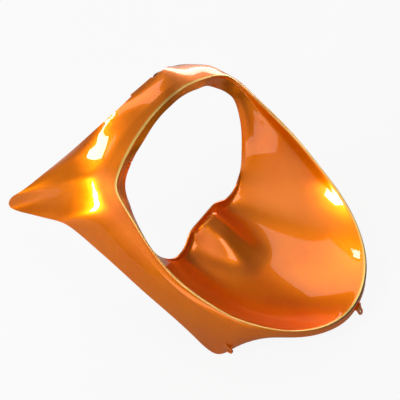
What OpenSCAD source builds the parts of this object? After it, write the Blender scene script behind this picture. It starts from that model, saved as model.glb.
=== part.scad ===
// Front spoiler of a scooter: one moulded shell round a closed rim. Inside the rim the
// skin drops into a bowl that ends at a large opening; outside it falls away as flanks
// with a wing tip on each side. All measures are in millimetres.

/* [Size] */
// length of the rim, along the spoiler
rim_len = 347; // [300:1:400]
// width over the rim
rim_w = 297; // [260:1:340]
// depth of the lowest valley of the bowl below the rim
bowl_deep = 129; // [110:1:136]
// depth of the flanks at their front corners, below the rim
flank_deep = 88; // [80:1:96]

/* [Shell] */
// wall thickness of the moulding
wall = 2.5; // [2:0.1:3]
// reach of the rounding on each side of the rim
rim_reach = 11; // [9:0.5:12]
// height of the hump in the middle of the bowl
hump_high = 24; // [10:1:26]
// half width of the hump
hump_half = 26; // [20:1:32]
// how full the bowl is, 1 is a straight section
bowl_full = 1.3; // [1.2:0.05:1.4]
// how full the flanks are along the sides
side_full = 1.5; // [1.3:0.05:1.8]
// how full the skin is behind the rim
rear_full = 1.5; // [1.3:0.05:1.6]
// how much it falls in again toward a wing tip
wing_hollow = 0.6; // [0.3:0.05:0.8]

/* [Tabs and bosses] */
// bore of each tab
tab_bore = 4.5; // [3:0.1:5.5]
// width of a tab
tab_w = 9; // [8:0.5:12]
// length of a corner tab from the hem to the centre of its bore
tab_len = 12; // [8:0.5:14]
// diameter of the two screw bosses behind the bowl
boss_d = 13; // [11:0.5:16]
// bore of a boss
boss_bore = 5; // [3.5:0.1:6]
// depth of that bore
boss_deep = 14; // [8:0.5:18]
// width of the tongue in the middle of the rear edge
tongue_w = 32; // [20:1:44]
// how far the tongue stands proud of the rear edge
tongue_out = 3.5; // [2:0.5:6]

/* [Lying on the floor] */
// angle of the rim to the floor
tilt = 36.3; // [32:0.1:40]

/* [Mesh] */
// steps between two stations, round the rim
su = 2; // [1:1:2]
// steps between two points of a section
sv = 2; // [1:1:2]

/* [Hidden] */
$fn = 48;

// Stations from the front of the rim to its rear, right half, each a point
// [across, along, height] at the nominal size.
// crest of the rim
rim_at = [
    [0, 0, 0], [34, 5, 0], [66, 20, -2], [93, 42, -7], [112.5, 66, -12], [125, 88, -17],
    [131.5, 102, -20], [136.5, 115, -22.5], [142.5, 140, -26], [147.5, 168, -28.5],
    [149.5, 196, -30], [148, 222, -29.5], [145, 246, -28], [140.5, 268, -26],
    [137, 286, -24.5], [134.5, 297, -24], [131.5, 307, -23.5], [126.5, 315, -22],
    [119, 321, -20], [109, 326, -17.5], [97, 331, -15.5], [84, 335, -13.5],
    [70, 339, -11], [55, 342, -8], [38, 345, -5], [19, 346.5, -1.5], [0, 347, 0]];

// free edge of the skin at the opening
mouth_at = [
    [0, 200, -113], [18, 200, -113], [34, 199, -113], [51, 191, -117], [66, 190, -116],
    [77, 192, -113], [85, 196, -110], [93, 202, -105], [103, 212, -98],
    [111, 226, -87], [116, 239, -75], [119.5, 253, -63], [121, 266, -53],
    [121.5, 278, -44.5], [120, 288, -38], [118, 295, -36], [114, 303, -34],
    [108, 310, -32], [100, 316, -28.5], [91, 321, -23], [80, 326, -17],
    [69, 329, -12.5], [57, 332, -10], [45, 335, -8], [31, 337.5, -6], [15, 339, -4],
    [0, 339, -3]];

// foot of the turned-up lip, before the hump is added
bend_at = [
    [0, 182, -129], [18, 182, -129], [34, 182, -129], [50, 181, -129], [66, 183, -124],
    [78, 187, -117], [86, 192, -112], [95, 199, -105]];

// outer edge: skirt, front corner, flank, wing tip, rear edge
hem_at = [
    [0, -9, -7], [36, -3, -6], [68, 13, -10], [93, 33, -15], [113, 56, -24],
    [127, 69, -35], [140, 77, -58], [150, 80, -88], [158.5, 121, -78], [165.5, 164, -71],
    [170.5, 206, -69], [170.5, 245, -73], [169, 275, -80.5], [168, 302, -87],
    [169, 325, -93], [167, 343, -120], [165, 364, -150], [162, 386, -182],
    [159, 393, -164], [151, 389, -145], [134, 386, -117], [114, 383, -92],
    [92, 381, -66], [72, 380, -39], [50, 379, -20], [25, 380, -18], [0, 380, -18]];

n = len(rim_at) - 1;
grow_x = rim_w / 297;
grow_y = rim_len / 347;
grow_bowl = bowl_deep / 129;
grow_flank = flank_deep / 88;
function sized(t, k) = [for (p = t) [p[0] * grow_x, p[1] * grow_y, p[2] * k]];
rim = sized(rim_at, 1);
mouth = sized(mouth_at, grow_bowl);
bend = sized(bend_at, grow_bowl);
hem = sized(hem_at, grow_flank);

function unit(v) = v / norm(v);
function ease(t) = let (c = max(0, min(1, t))) c * c * (3 - 2 * c);
// point at share w of the way from a (deep) to b (high); m above 1 fills the section
function scoop(a, b, w, m) =
    let (k = 1 - pow(1 - w, m), c = pow(w, m))
    [a[0] + (b[0] - a[0]) * k, a[1] + (b[1] - a[1]) * k, a[2] + (b[2] - a[2]) * c];
// foot of the lip, or of the plain edge where the lip has run out
function foot(i) =
    i < len(bend) ? bend[i]
    : mouth[i] + (rim[i] - mouth[i]) * min(0.35, 8 / norm(rim[i] - mouth[i]));
function fill(i) = side_full + (rear_full - side_full) * ease((i - 11) / 5);
function hollow(i) = wing_hollow * ease(1 - abs(i - 17.5) / 4);

// one section from the mouth over the rim to the hem
function section(i) =
    let (f = mouth[i], e = foot(i), r = rim[i], h = hem[i],
         flank = [for (w = [0.25, 0.5, 0.75]) scoop(r, h, w, fill(i) - hollow(i) * (2 * w - 0.5))],
         in = unit(scoop(e, r, 0.8, bowl_full) - r) * min(rim_reach, 0.35 * norm(e - r)),
         out = unit(flank[0] - r) * min(rim_reach, 0.45 * norm(h - r)),
         span = 1 - norm(in) / norm(e - r),
         bowl = [for (w = [0.2, 0.4, 0.6, 0.8]) scoop(e, r, w * span, bowl_full)])
    concat([f, (e + f) / 2, e], bowl, [r + in, r - (in + out) / 4, r + out], flank, [h]);
net = [for (i = [0:n]) section(i)];
last = len(net[0]) - 1;

// whole ring of sections, the left half mirrored; rim and edges are drawn out so that the
// curves meet their points, and the flank between them is left smooth
function ring(i) =
    let (k = (i + 2 * n) % (2 * n))
    k <= n ? net[k] : [for (p = net[2 * n - k]) [-p[0], p[1], p[2]]];
drawn = [for (i = [0:2 * n - 1])
    let (a = ring(i - 1), b = ring(i), c = ring(i + 1))
    [for (j = [0:last]) j > 9 && j < last ? b[j] : (8 * b[j] - a[j] - c[j]) / 6]];

// cubic spline weights at t between two points
function weights(t) = [pow(1 - t, 3), 3 * pow(t, 3) - 6 * t * t + 4,
    -3 * pow(t, 3) + 3 * t * t + 3 * t + 1, pow(t, 3)] / 6;
function held(c, j) = j < 0 ? 2 * c[0] - c[1] : j > last ? 2 * c[last] - c[last - 1] : c[j];
function along(c, v) =
    let (k = min(floor(v), last - 1), w = weights(v - k))
    w[0] * held(c, k - 1) + w[1] * held(c, k) + w[2] * held(c, k + 1) + w[3] * held(c, k + 2);
nv = last * sv;
nu = 2 * n * su;
strips = [for (c = drawn) [for (j = [0:nv]) along(c, j / sv)]];
function around(i, j) =
    let (k = floor(i / su), w = weights(i / su - k), m = 2 * n)
    w[0] * strips[(k - 1 + m) % m][j] + w[1] * strips[k % m][j]
    + w[2] * strips[(k + 1) % m][j] + w[3] * strips[(k + 2) % m][j];

// the hump rises at the lip and fades toward the front of the bowl
function hump(p, v) =
    v >= 8 || p[1] > 240 * grow_y ? 0
    : hump_high / (1 + pow(abs(p[0]) / hump_half, 4))
        * ease((p[1] / grow_y - 95) / 70) * ease((v - 0.3) / 1.7);
skin = [for (i = [0:nu - 1]) [for (j = [0:nv])
    let (p = around(i, j)) p + [0, 0.5, 0.85] * hump(p, j / sv)]];

// inner face, one wall thickness behind the skin
function slope_u(i, j) = skin[(i + 1) % nu][j] - skin[(i + nu - 1) % nu][j];
function slope_v(i, j) = skin[i][min(j + 1, nv)] - skin[i][max(j - 1, 0)];
back = [for (i = [0:nu - 1]) [for (j = [0:nv])
    skin[i][j] - wall * unit(cross(slope_v(i, j), slope_u(i, j)))]];

// from the rim's own frame to the floor's
function laid(p) = [p[0], p[1] * cos(tilt) - p[2] * sin(tilt), p[1] * sin(tilt) + p[2] * cos(tilt)];
points = [for (i = [0:nu - 1]) for (j = [0:nv]) laid(skin[i][j])];
points_in = [for (i = [0:nu - 1]) for (j = [0:nv]) laid(back[i][j])];
low = min([for (p = concat(points, points_in)) p[2]]);

// bore centre of the tab in the middle of the front edge, which dips to the floor
front_dip = 20;
dip = tilt + front_dip;
front_y = laid([0, hem[0][1] - 8.5, hem[0][2] - 2.4])[1];
front_at = [0, front_y, low + tab_w / 2 * sin(dip) + wall / 2 * cos(dip)];
fore = front_y - tab_w / 2 * cos(dip) - wall / 2 * sin(dip);
mid = (fore + max([for (p = concat(points, points_in)) p[1]])) / 2;

module moulding() {
    row = nv + 1;
    all_points = concat(points, points_in);
    off = nu * row;
    function at(i, j) = (i % nu) * row + j;
    polyhedron(all_points, concat(
        [for (i = [0:nu - 1]) for (j = [0:nv - 1]) [at(i, j), at(i + 1, j), at(i + 1, j + 1)]],
        [for (i = [0:nu - 1]) for (j = [0:nv - 1]) [at(i, j), at(i + 1, j + 1), at(i, j + 1)]],
        [for (i = [0:nu - 1]) for (j = [0:nv - 1]) [off + at(i, j), off + at(i + 1, j + 1), off + at(i + 1, j)]],
        [for (i = [0:nu - 1]) for (j = [0:nv - 1]) [off + at(i, j), off + at(i, j + 1), off + at(i + 1, j + 1)]],
        [for (i = [0:nu - 1]) [at(i, 0), off + at(i, 0), off + at(i + 1, 0)]],
        [for (i = [0:nu - 1]) [at(i, 0), off + at(i + 1, 0), at(i + 1, 0)]],
        [for (i = [0:nu - 1]) [at(i, nv), off + at(i + 1, nv), off + at(i, nv)]],
        [for (i = [0:nu - 1]) [at(i, nv), at(i + 1, nv), off + at(i + 1, nv)]]));
}

// flat ring on a stem, its bore along Z, the bore centre at the origin, stem toward +Y
module eye(stem) {
    difference() {
        union() {
            cylinder(d = tab_w, h = wall, center = true, $fn = 48);
            translate([-tab_w / 2, 0, -wall / 2]) cube([tab_w, stem, wall]);
        }
        cylinder(d = tab_bore, h = 3 * wall, center = true, $fn = 48);
    }
}

// tab at a front corner, in line with the flank's skin
corner = (skin[7 * su][nv - 2] + back[7 * su][nv - 2]) / 2;
module corner_tab(side) {
    translate([side * (corner[0] - 0.4), corner[1] - tab_len, corner[2]])
    rotate([0, 90, 0])
    eye(tab_len + 4);
}

module front_tab() {
    translate(front_at)
    rotate([dip, 0, 0])
    eye(11);
}

// hollow boss behind the bowl, beside the hump, its end down on the floor
seat = skin[3 * su][3 * sv - 1];
boss_end = (low + boss_d / 2 * sin(tilt) - seat[1] * sin(tilt)) / cos(tilt);
module boss(side) {
    translate([side * seat[0], seat[1], boss_end])
    difference() {
        cylinder(d = boss_d, h = seat[2] - wall * 0.6 - boss_end, $fn = 64);
        translate([0, 0, -1]) cylinder(d = boss_bore, h = boss_deep + 1, $fn = 48);
    }
}

// tongue in the middle of the rear edge, following the skin
rear = skin[n * su][nv];
rear_fall = atan2(skin[n * su][nv - 2][2] - rear[2], rear[1] - skin[n * su][nv - 2][1]);
module tongue() {
    translate(rear)
    rotate([-rear_fall, 0, 0])
    translate([-tongue_w / 2, -6, -wall])
    cube([tongue_w, 6 + tongue_out, wall]);
}

module shell() {
    color([0.95, 0.45, 0.05])
    translate([0, -mid, -low])
    union() {
        moulding();
        rotate([tilt, 0, 0]) {
            for (side = [-1, 1]) {
                corner_tab(side);
                boss(side);
            }
            tongue();
        }
        front_tab();
    }
}

shell();
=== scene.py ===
from math import cos, pi, radians, sin

import bmesh
import bpy
from mathutils import Matrix, Vector


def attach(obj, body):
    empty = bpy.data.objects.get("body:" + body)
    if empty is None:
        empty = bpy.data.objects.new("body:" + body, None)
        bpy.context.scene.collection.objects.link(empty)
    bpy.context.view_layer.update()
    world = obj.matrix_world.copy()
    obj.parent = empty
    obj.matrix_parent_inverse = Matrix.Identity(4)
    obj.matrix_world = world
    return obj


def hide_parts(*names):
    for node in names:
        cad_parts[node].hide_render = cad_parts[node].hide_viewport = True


# painted front spoiler, lying on a white table
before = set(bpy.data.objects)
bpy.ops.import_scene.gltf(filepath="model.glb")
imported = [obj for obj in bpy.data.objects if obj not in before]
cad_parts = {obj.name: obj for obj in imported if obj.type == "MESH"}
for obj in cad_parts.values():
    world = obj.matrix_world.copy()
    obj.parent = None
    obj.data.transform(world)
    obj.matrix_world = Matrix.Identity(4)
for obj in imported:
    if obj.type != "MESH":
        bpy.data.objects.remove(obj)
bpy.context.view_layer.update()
print("frame loaded")

mm = 0.001

# camera
cameraSetup = {"target": (0.0, 0.0302, 0.0772), "turn": -57.876, "rise": 45.0, "away": 0.9371, "lens": 63.0}


def makeCamera(s):
    turn, rise = radians(s["turn"]), radians(s["rise"])
    back = Vector((sin(turn) * cos(rise), -cos(turn) * cos(rise), sin(rise)))
    data = bpy.data.cameras.new("camera")
    data.lens = s["lens"]
    data.sensor_width = 36
    data.clip_start = 0.01
    cam = bpy.data.objects.new("camera", data)
    bpy.context.scene.collection.objects.link(cam)
    cam.location = Vector(s["target"]) + back * s["away"]
    cam.rotation_euler = (-back).to_track_quat("-Z", "Y").to_euler()
    bpy.context.scene.camera = cam


makeCamera(cameraSetup)
print("camera placed")


# colour and node helpers
def hexColour(code):
    vals = [int(code[i:i + 2], 16) / 255 for i in (1, 3, 5)]
    lin = [v / 12.92 if v <= 0.04045 else ((v + 0.055) / 1.055) ** 2.4 for v in vals]
    return (*lin, 1.0)


# adds one node; values go on its sockets, links come as (socket, from node, from socket)
def addNode(mat, kind, values=None, links=(), **settings):
    node = mat.node_tree.nodes.new(kind)
    for k, v in settings.items():
        setattr(node, k, v)
    for k, v in (values or {}).items():
        node.inputs[k].default_value = v
    for sock, src, out in links:
        mat.node_tree.links.new(src.outputs[out], node.inputs[sock])
    return node


def newMaterial(name):
    mat = bpy.data.materials.new(name)
    mat.use_nodes = True
    mat.node_tree.nodes.clear()
    return mat


def addRamp(mat, src, out, stops):
    ramp = addNode(mat, "ShaderNodeValToRGB", links=[("Fac", src, out)])
    el = ramp.color_ramp.elements
    while len(el) < len(stops):
        el.new(0.5)
    for e, (pos, col) in zip(el, stops):
        e.position = pos
        e.color = hexColour(col) if isinstance(col, str) else (col, col, col, 1)
    return ramp


# the moulded skin
# stations from the front of the rim to its rear, right half, in mm: across, along, height
skinSizes = {"wall": 2.5, "rimReach": 11, "humpHigh": 24, "humpHalf": 26, "humpFoot": 95, "humpRun": 70,
             "humpEnd": 240, "humpRise": (0, 0.5, 0.85), "bowlFull": 1.3, "sideFull": 1.5, "rearFull": 1.5,
             "wingHollow": 0.6, "tilt": 36.3, "mid": 203.847, "low": -20.2467, "rimColumn": 8,
             "stepsRound": 6, "stepsAcross": 6, "tongueSides": [25.16], "tongueOut": 3.5,
             "grooves": [19.25], "grooveHalf": 0.06, "grooveDeep": 0.8, "crestSteps": 2, "mistSteps": 12}
rimAt = [
    [0, 0, 0], [34, 5, 0], [66, 20, -2], [93, 42, -7], [112.5, 66, -12], [125, 88, -17],
    [131.5, 102, -20], [136.5, 115, -22.5], [142.5, 140, -26], [147.5, 168, -28.5],
    [149.5, 196, -30], [148, 222, -29.5], [145, 246, -28], [140.5, 268, -26],
    [137, 286, -24.5], [134.5, 297, -24], [131.5, 307, -23.5], [126.5, 315, -22],
    [119, 321, -20], [109, 326, -17.5], [97, 331, -15.5], [84, 335, -13.5],
    [70, 339, -11], [55, 342, -8], [38, 345, -5], [19, 346.5, -1.5], [0, 347, 0]]
mouthAt = [
    [0, 200, -113], [18, 200, -113], [34, 199, -113], [51, 191, -117], [66, 190, -116],
    [77, 192, -113], [85, 196, -110], [93, 202, -105], [103, 212, -98],
    [111, 226, -87], [116, 239, -75], [119.5, 253, -63], [121, 266, -53],
    [121.5, 278, -44.5], [120, 288, -38], [118, 295, -36], [114, 303, -34],
    [108, 310, -32], [100, 316, -28.5], [91, 321, -23], [80, 326, -17],
    [69, 329, -12.5], [57, 332, -10], [45, 335, -8], [31, 337.5, -6], [15, 339, -4],
    [0, 339, -3]]
bendAt = [
    [0, 182, -129], [18, 182, -129], [34, 182, -129], [50, 181, -129], [66, 183, -124],
    [78, 187, -117], [86, 192, -112], [95, 199, -105]]
hemAt = [
    [0, -9, -7], [36, -3, -6], [68, 13, -10], [93, 33, -15], [113, 56, -24],
    [127, 69, -35], [140, 77, -58], [150, 80, -88], [158.5, 121, -78], [165.5, 164, -71],
    [170.5, 206, -69], [170.5, 245, -73], [169, 275, -80.5], [168, 302, -87],
    [169, 325, -93], [167, 343, -120], [165, 364, -150], [162, 386, -182],
    [159, 393, -164], [151, 389, -145], [134, 386, -117], [114, 383, -92],
    [92, 381, -66], [72, 380, -39], [50, 379, -20], [25, 380, -18], [0, 380, -18]]


def vectors(table):
    return [Vector(p) for p in table]


rim, mouth, bend, hem = [vectors(t) for t in (rimAt, mouthAt, bendAt, hemAt)]
half = len(rim) - 1
whole = 2 * half


def ease(t):
    t = max(0.0, min(1.0, t))
    return t * t * (3 - 2 * t)


# point at share w of the way from a (deep) to b (high)
def scoop(a, b, w, full):
    k, c = 1 - (1 - w) ** full, w ** full
    return Vector((a.x + (b.x - a.x) * k, a.y + (b.y - a.y) * k, a.z + (b.z - a.z) * c))


def section(i):
    s = skinSizes
    f, r, h = mouth[i], rim[i], hem[i]
    if i < len(bend):
        e = bend[i]
    else:
        e = f + (r - f) * min(0.35, 8 / (r - f).length)
    fill = s["sideFull"] + (s["rearFull"] - s["sideFull"]) * ease((i - 11) / 5)
    hollow = s["wingHollow"] * ease(1 - abs(i - 17.5) / 4)
    flank = [scoop(r, h, w, fill - hollow * (w - 0.25) * 2) for w in (0.25, 0.5, 0.75)]
    into = (scoop(e, r, 0.8, s["bowlFull"]) - r).normalized() * min(s["rimReach"], 0.35 * (e - r).length)
    out = (flank[0] - r).normalized() * min(s["rimReach"], 0.45 * (h - r).length)
    span = 1 - into.length / (e - r).length
    bowl = [scoop(e, r, w * span, s["bowlFull"]) for w in (0.2, 0.4, 0.6, 0.8)]
    return [f, (e + f) / 2, e, *bowl, r + into, r - (into + out) / 4, r + out, *flank, h]


net = [section(i) for i in range(half + 1)]
last = len(net[0]) - 1


def ringSection(i):
    k = i % whole
    return net[k] if k <= half else [Vector((-p.x, p.y, p.z)) for p in net[whole - k]]


# edges and rim are drawn out so the curves meet their points, the flank between is left smooth
drawn = [[b if 10 <= j <= 12 else (8 * b - a - c) / 6 for j, (a, b, c) in
          enumerate(zip(ringSection(i - 1), ringSection(i), ringSection(i + 1)))]
         for i in range(whole)]


def weights(t):
    return ((1 - t) ** 3 / 6, (3 * t ** 3 - 6 * t * t + 4) / 6,
            (-3 * t ** 3 + 3 * t * t + 3 * t + 1) / 6, t ** 3 / 6)


def held(c, j):
    if j < 0:
        return 2 * c[0] - c[1]
    return 2 * c[last] - c[last - 1] if j > last else c[j]


def alongSection(c, v):
    k = min(int(v), last - 1)
    w = weights(v - k)
    return sum((w[m] * held(c, k - 1 + m) for m in range(4)), Vector())


def humpAt(p, v):
    s = skinSizes
    if v >= s["rimColumn"] or p.y > s["humpEnd"]:
        return 0.0
    return (s["humpHigh"] / (1 + (abs(p.x) / s["humpHalf"]) ** 4)
            * ease((p.y - s["humpFoot"]) / s["humpRun"]) * ease((v - 0.3) / 1.7))


def skinPoint(strips, u, j, v):
    k, t = divmod(u, 1)
    p = sum((w * strips[(int(k) - 1 + m) % whole][j] for m, w in enumerate(weights(t))), Vector())
    return p + Vector(skinSizes["humpRise"]) * humpAt(p, v)


# places round the rim, with close pairs where the tongue's sides and the small grooves are
def placesRound():
    s = skinSizes
    places = {i / s["stepsRound"] for i in range(whole * s["stepsRound"])}
    grooveSides = [g + d for g in s["grooves"] for d in (-s["grooveHalf"], s["grooveHalf"])]
    for u in (*s["tongueSides"], *grooveSides):
        places |= {u - 0.02, u + 0.02, whole - u - 0.02, whole - u + 0.02}
    return sorted(places)


# skin and its normals on a fine grid, rim frame, mm
def fineSkin():
    s = skinSizes
    acrossValues = [j / s["stepsAcross"] for j in range(last * s["stepsAcross"] + 1)]
    end, wide = len(acrossValues) - 1, s["stepsAcross"] // 2
    strips = [[alongSection(c, v) for v in acrossValues] for c in drawn]
    skin, normals = [], []
    for u in placesRound():
        row = [skinPoint(strips, u, j, v) for j, v in enumerate(acrossValues)]
        ahead = [skinPoint(strips, u + 0.1, j, v) for j, v in enumerate(acrossValues)]
        behind = [skinPoint(strips, u - 0.1, j, v) for j, v in enumerate(acrossValues)]
        side = [(row[min(j + wide, end)] - row[max(j - wide, 0)]).cross(ahead[j] - behind[j]).normalized()
                for j in range(end + 1)]
        skin.append(row)
        normals.append(side)
    return skin, normals


# share of a raised or sunk place at u, mirrored to the other half
def within(u, a, b):
    return 1.0 if a < u < b or a < whole - u < b else 0.0


def finishSkin(skin, normals):
    s = skinSizes
    for u, row, side in zip(placesRound(), skin, normals):
        tongue = within(u, s["tongueSides"][0], whole / 2 + 0.5)
        row[-1] += (row[-1] - row[-2]).normalized() * s["tongueOut"] * tongue
        for g in s["grooves"]:
            for j in range(s["stepsAcross"] * 4):
                row[j] -= side[j] * s["grooveDeep"] * within(u, g - s["grooveHalf"], g + s["grooveHalf"])


# rim frame (mm) to the floor's frame (m)
tiltTurn = Matrix.Rotation(radians(skinSizes["tilt"]), 4, "X")
toFloor = (Matrix.Scale(mm, 4) @ Matrix.Translation((0, -skinSizes["mid"], -skinSizes["low"]))
           @ tiltTurn)


def newPiece(name, bm, materials):
    mesh = bpy.data.meshes.new(name)
    bm.normal_update()
    for e in bm.edges:
        e.smooth = len(e.link_faces) == 2 and e.calc_face_angle() < 0.9
    bm.to_mesh(mesh)
    bm.free()
    obj = bpy.data.objects.new(name, mesh)
    bpy.context.scene.collection.objects.link(obj)
    for m in materials:
        mesh.materials.append(m)
    for poly in mesh.polygons:
        poly.use_smooth = True
    return obj


rows, normals = fineSkin()
finishSkin(rows, normals)


def makeShell(materials):
    s = skinSizes
    bm = bmesh.new()
    near = bm.verts.layers.float.new("near_edge")
    # mask of the painted highlight along the crest of the rim
    crest = bm.verts.layers.float.new("crest")
    nu, nv = len(rows), len(rows[0])
    # loop of points round one section: skin, rounded hem, inner face, rounded mouth
    cut = 0.15 * s["wall"]
    rimColumn = s["rimColumn"] * s["stepsAcross"]
    loops = []
    for i in range(nu):
        skin = list(rows[i])
        # thinner under the sharp rim, where the two sides of the wall would cross
        inner = [p - s["wall"] * min(1, 0.15 + abs(j - rimColumn) / 6) * n
                 for j, (p, n) in enumerate(zip(rows[i], normals[i]))]
        hemOut = (skin[-1] - skin[-2]).normalized()
        mouthOut = (skin[0] - skin[1]).normalized()
        hemRound = [skin[-1] - normals[i][-1] * s["wall"] * a + hemOut * cut * b
                    for a, b in ((0.15, 0.6), (0.5, 1.0), (0.85, 0.6))]
        mouthRound = [skin[0] - normals[i][0] * s["wall"] * a + mouthOut * cut * b
                      for a, b in ((0.85, 0.6), (0.5, 1.0), (0.15, 0.6))]
        loops.append([bm.verts.new(toFloor @ p) for p in skin + hemRound + inner[::-1] + mouthRound])
    size = len(loops[0])
    for i in range(nu):
        a, b = loops[i], loops[(i + 1) % nu]
        for j in range(size):
            k = (j + 1) % size
            face = bm.faces.new((a[j], b[j], b[k], a[k]))
            face.material_index = 1 if nv + 3 <= j < 2 * nv + 2 else 0
    bmesh.ops.recalc_face_normals(bm, faces=bm.faces)
    # nearness to an edge, for the paint mist, and to the crest, for the painted highlight along it
    for loop in loops:
        for j, vert in enumerate(loop):
            step = min(j, nv - 1 - j) if j < nv else min(j - nv - 3, 2 * nv + 2 - j)
            vert[near] = max(0.0, 1 - max(step, 0) / s["mistSteps"])
            vert[crest] = max(0.0, 1 - abs(j - rimColumn) / s["crestSteps"])
    return newPiece("moulded_shell", bm, materials)


# materials
# the pale yellow crest colour is a painted highlight along the rim, not a paint tone
paintLook = {"base": "#F07A02", "warm": "#F48004", "deep": "#EA7002", "crest": "#FFE580", "flakeMm": 0.35,
             "cloudMm": 62.5, "peelMm": 3.85, "roughness": 0.36, "metal": 0.8, "coat": 0.9}


# metallic orange lacquer: flakes give the dark flop, the clear coat gives the sharp reflections
def makePaint(s):
    mat = newMaterial("orange_metallic_lacquer")
    coords = addNode(mat, "ShaderNodeTexCoord")
    # flakes, each tipped a little; real ones are too fine to show, so these are a third of a millimetre
    flake = addNode(mat, "ShaderNodeTexVoronoi", {"Scale": 1000 / s["flakeMm"]},
                    [("Vector", coords, "Object")])
    # cloudiness of a hand-sprayed coat, some 60 mm wide
    cloud = addNode(mat, "ShaderNodeTexNoise", {"Scale": 1000 / s["cloudMm"], "Detail": 3, "Roughness": 0.5},
                    [("Vector", coords, "Object")])
    cloudTone = addRamp(mat, cloud, "Fac", [(0.3, s["deep"]), (0.5, s["base"]), (0.72, s["warm"])])
    flakeTone = addRamp(mat, flake, "Color", [(0.0, 0.72), (0.55, 1.0), (1.0, 1.25)])
    tone = addNode(mat, "ShaderNodeMix", {"Factor": 0.5},
                   [("A", cloudTone, "Color"), ("B", flakeTone, "Color")],
                   data_type="RGBA", blend_type="MULTIPLY")
    # painted highlight: a paler tone along the crest of the rim stands in for the bright line reflected
    # there
    crest = addNode(mat, "ShaderNodeAttribute", attribute_name="crest")
    lined = addNode(mat, "ShaderNodeMix", {"B": hexColour(s["crest"])},
                   [("Factor", crest, "Fac"), ("A", tone, "Result")], data_type="RGBA")
    # orange peel, 4 mm waves far under a tenth of a millimetre high
    peel = addNode(mat, "ShaderNodeTexNoise", {"Scale": 1000 / s["peelMm"], "Detail": 2, "Roughness": 0.4},
                   [("Vector", coords, "Object")])
    peelBump = addNode(mat, "ShaderNodeBump", {"Strength": 0.05, "Distance": 0.0004},
                       [("Height", peel, "Fac")])
    flakeBump = addNode(mat, "ShaderNodeBump", {"Strength": 0.12, "Distance": 0.0002},
                        [("Height", flake, "Color"), ("Normal", peelBump, "Normal")])
    rough = addNode(mat, "ShaderNodeMapRange",
                    {"To Min": s["roughness"] - 0.04, "To Max": s["roughness"] + 0.05},
                    [("Value", cloud, "Fac")])
    shader = addNode(mat, "ShaderNodeBsdfPrincipled",
                     {"Metallic": s["metal"], "IOR": 1.5, "Specular IOR Level": 0.0,
                      "Coat Weight": s["coat"], "Coat Roughness": 0.03, "Coat IOR": 1.45},
                     [("Base Color", lined, "Result"), ("Roughness", rough, "Result"),
                      ("Normal", flakeBump, "Normal"), ("Coat Normal", peelBump, "Normal")])
    addNode(mat, "ShaderNodeOutputMaterial", links=[("Surface", shader, "BSDF")])
    return mat


plasticLook = {"base": "#1B1B1C", "mist": "#7A3410", "mistMm": 16.7, "grainMm": 1.11}


# bare ABS of the inner face, with paint mist near the edges
def makePlastic(s):
    mat = newMaterial("black_abs_inner_face")
    coords = addNode(mat, "ShaderNodeTexCoord")
    mist = addNode(mat, "ShaderNodeTexNoise", {"Scale": 1000 / s["mistMm"], "Detail": 6, "Roughness": 0.7},
                   [("Vector", coords, "Object")])
    near = addNode(mat, "ShaderNodeAttribute", attribute_name="near_edge")
    reach = addNode(mat, "ShaderNodeMath", {2: -0.35}, [(0, near, "Fac"), (1, mist, "Fac")],
                    operation="MULTIPLY_ADD")
    cover = addRamp(mat, reach, "Value", [(0.0, 0.0), (0.35, 1.0)])
    tone = addNode(mat, "ShaderNodeMix", {"A": hexColour(s["base"]), "B": hexColour(s["mist"])},
                   [("Factor", cover, "Color")], data_type="RGBA")
    grain = addNode(mat, "ShaderNodeTexNoise", {"Scale": 1000 / s["grainMm"], "Detail": 2},
                    [("Vector", coords, "Object")])
    bump = addNode(mat, "ShaderNodeBump", {"Strength": 0.25, "Distance": 0.0002},
                   [("Height", grain, "Fac")])
    shader = addNode(mat, "ShaderNodeBsdfPrincipled", {"IOR": 1.54, "Roughness": 0.48},
                     [("Base Color", tone, "Result"), ("Normal", bump, "Normal")])
    addNode(mat, "ShaderNodeOutputMaterial", links=[("Surface", shader, "BSDF")])
    return mat


paint = makePaint(paintLook)
plastic = makePlastic(plasticLook)

shell = makeShell([paint, plastic])
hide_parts("shell")
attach(shell, "root")
print("shell made,", len(shell.data.polygons), "faces")


# tabs: flat rings on stems that widen into the moulding
tabSizes = {"bore": 4.5, "wide": 9, "thick": 2.5, "cornerLength": 12, "frontLength": 9, "flare": 3.5}


def surface(u, v):
    return skinPoint([[alongSection(c, v)] for c in drawn], u, 0, v)


def makeTab(name, length, place, material):
    s = tabSizes
    bm = bmesh.new()
    steps = 64
    r, hole = s["wide"] / 2, s["bore"] / 2
    rings = []
    for i in range(steps):
        a = 2 * pi * i / steps
        x, y = sin(a), cos(a)
        # outline: half a ring, then straight sides out to the root
        out = r if y <= 0 else min(r / max(abs(x), 1e-6), length / max(y, 1e-6))
        ox, oy = x * out, y * out
        if oy > 0:
            ox *= 1 + s["flare"] / r * max(0.0, oy / length) ** 3
        t = s["thick"] / 2
        soft = 0.35
        loop = [(x * hole, y * hole, -t + soft), (x * (hole + soft), y * (hole + soft), -t),
                (ox * (1 - soft / r), oy - soft * y, -t), (ox, oy, -t + soft), (ox, oy, t - soft),
                (ox * (1 - soft / r), oy - soft * y, t), (x * (hole + soft), y * (hole + soft), t),
                (x * hole, y * hole, t - soft)]
        rings.append([bm.verts.new(place @ Vector(p)) for p in loop])
    for i in range(steps):
        a, b = rings[i], rings[(i + 1) % steps]
        for j in range(8):
            k = (j + 1) % 8
            bm.faces.new((a[j], b[j], b[k], a[k]))
    bmesh.ops.recalc_face_normals(bm, faces=bm.faces)
    tab = newPiece(name, bm, [material])
    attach(tab, "root")
    return tab


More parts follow.
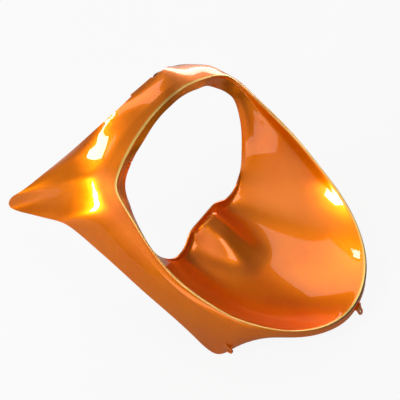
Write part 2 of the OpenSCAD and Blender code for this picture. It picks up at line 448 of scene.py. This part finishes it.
def makeTabs():
    s, k = tabSizes, skinSizes
    # corner tabs stand in line with the flank's wall, as the solid has them
    step = 1 / 2
    skinAt = surface(7, last - 2 * step)
    du = surface(7.25, last - 2 * step) - surface(6.75, last - 2 * step)
    dv = surface(7, last - step) - surface(7, last - 3 * step)
    mean = skinAt - dv.cross(du).normalized() * k["wall"] / 2
    for side, name in ((-1, "corner_tab_left"), (1, "corner_tab_right")):
        place = (toFloor @ Matrix.Translation((side * (mean.x - 0.4), mean.y - s["cornerLength"], mean.z))
                 @ Matrix.Rotation(pi / 2, 4, "Y"))
        makeTab(name, s["cornerLength"] + 2, place, paint)
    dip = radians(k["tilt"] + 20)
    y = (tiltTurn @ Vector((0, hem[0].y - 8.5, hem[0].z - 2.4))).y
    z = k["low"] + s["wide"] / 2 * sin(dip) + s["thick"] / 2 * cos(dip)
    place = (Matrix.Scale(mm, 4) @ Matrix.Translation((0, y - k["mid"], z - k["low"]))
             @ Matrix.Rotation(dip, 4, "X"))
    makeTab("front_tab", s["frontLength"], place, paint)


# screw bosses behind the bowl, their ends on the table
bossSizes = {"across": 13, "bore": 5, "deep": 14, "seat": (55.4045, 164.62, -120.327), "end": -141.273}


# a turned profile (radius, height) round an upright axis
def turned(bm, profile, place, steps=48):
    rings = [[bm.verts.new(place @ Vector((r * cos(2 * pi * i / steps), r * sin(2 * pi * i / steps), z)))
              for i in range(steps)] for r, z in profile]
    for a, b in zip(rings, rings[1:]):
        for i in range(steps):
            k = (i + 1) % steps
            bm.faces.new((a[i], a[k], b[k], b[i]))
    return rings


def makeBosses():
    s = bossSizes
    r, b, top = s["across"] / 2, s["bore"] / 2, s["seat"][2] - 0.6 - s["end"]
    for side, name in ((-1, "screw_boss_left"), (1, "screw_boss_right")):
        bm = bmesh.new()
        place = toFloor @ Matrix.Translation((side * s["seat"][0], s["seat"][1], s["end"]))
        profile = [(0.6, s["deep"] + 1), (b, s["deep"]), (b, 0.5), (b + 0.5, 0), (r - 0.4, 0), (r, 0.4),
                   (r, top - 1)]
        rings = turned(bm, profile, place)
        bm.faces.new(rings[0][::-1])
        bmesh.ops.recalc_face_normals(bm, faces=bm.faces)
        boss = newPiece(name, bm, [plastic])
        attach(boss, "root")


makeTabs()
makeBosses()
print("tabs and bosses made")


# room
roomLook = {"tone": "#A6A6A3", "cloud": "#9C9C9A", "white": 0.91, "size": 6.0,
            "sky": [(0.0, 0.2), (0.1, 0.08), (0.6, 0.1), (0.85, 0.3)],
            "softBox": (-0.74, 0.06, 0.67), "glow": [(0.72, 0.0), (0.97, 1.0)]}


# table: light grey where it lights the paint, near white where the camera sees it
def makeFloor(s):
    mat = newMaterial("white_table")
    coords = addNode(mat, "ShaderNodeTexCoord")
    cloud = addNode(mat, "ShaderNodeTexNoise", {"Scale": 3, "Detail": 2}, [("Vector", coords, "Object")])
    tone = addRamp(mat, cloud, "Fac", [(0.3, s["cloud"]), (0.7, s["tone"])])
    diffuse = addNode(mat, "ShaderNodeBsdfDiffuse", links=[("Color", tone, "Color")])
    glow = addNode(mat, "ShaderNodeEmission", {"Color": (1, 1, 1, 1), "Strength": 1.0})
    path = addNode(mat, "ShaderNodeLightPath")
    share = addNode(mat, "ShaderNodeMath", {1: s["white"]}, [(0, path, "Is Camera Ray")],
                    operation="MULTIPLY")
    mix = addNode(mat, "ShaderNodeMixShader",
                  links=[("Fac", share, "Value"), (1, diffuse, "BSDF"), (2, glow, "Emission")])
    addNode(mat, "ShaderNodeOutputMaterial", links=[("Surface", mix, "Shader")])
    bm = bmesh.new()
    bmesh.ops.create_grid(bm, x_segments=2, y_segments=2, size=s["size"] / 2)
    floor = newPiece("table_top", bm, [mat])


# dim room, with a soft box on the left about 40 degrees up
def makeWorld(s):
    world = bpy.data.worlds.new("studio")
    bpy.context.scene.world = world
    world.use_nodes = True
    world.node_tree.nodes.clear()
    coords = addNode(world, "ShaderNodeTexCoord")
    xyz = addNode(world, "ShaderNodeSeparateXYZ", links=[("Vector", coords, "Generated")])
    height = addRamp(world, xyz, "Z", s["sky"])
    toward = addNode(world, "ShaderNodeVectorMath", {1: s["softBox"]}, [(0, coords, "Generated")],
                     operation="DOT_PRODUCT")
    softBox = addRamp(world, toward, "Value", s["glow"])
    both = addNode(world, "ShaderNodeMix", {"Factor": 1.0},
                   [("A", height, "Color"), ("B", softBox, "Color")],
                   data_type="RGBA", blend_type="ADD")
    bg = addNode(world, "ShaderNodeBackground", {"Strength": 1.0}, [("Color", both, "Result")])
    addNode(world, "ShaderNodeOutputWorld", links=[("Surface", bg, "Background")])


lamps = [
    # name, place, aims at, width, height, watts
    ("window", (-0.12, 1.45, 1.35), (0, 0.05, 0.15), 0.18, 0.7, 9),
    ("side", (-1.45, 0.87, 0.9), (0, 0, 0.1), 0.22, 0.34, 22),
    ("ceiling", (0.8, 1.0, 1.9), (0, 0, 0), 1.8, 1.3, 13),
    ("front", (-0.25, -1.25, 1.6), (0, 0, 0.05), 0.9, 0.6, 6),
    ("front board", (-1.5, -1.0, 0.35), (0, 0, 0.1), 0.9, 0.6, 3.5),
    ("right board", (1.6, 0.3, 0.3), (0, 0.05, 0.15), 1.6, 0.5, 11),
]


def makeLamps():
    for name, place, aim, wide, high, watts in lamps:
        data = bpy.data.lights.new(name, "AREA")
        data.shape = "RECTANGLE"
        data.size, data.size_y, data.energy = wide, high, watts
        lamp = bpy.data.objects.new(name, data)
        bpy.context.scene.collection.objects.link(lamp)
        lamp.location = place
        lamp.rotation_euler = (Vector(aim) - Vector(place)).to_track_quat("-Z", "Y").to_euler()


makeFloor(roomLook)
makeWorld(roomLook)
makeLamps()
bpy.context.scene.view_settings.view_transform = "Standard"
print("room and lamps made")
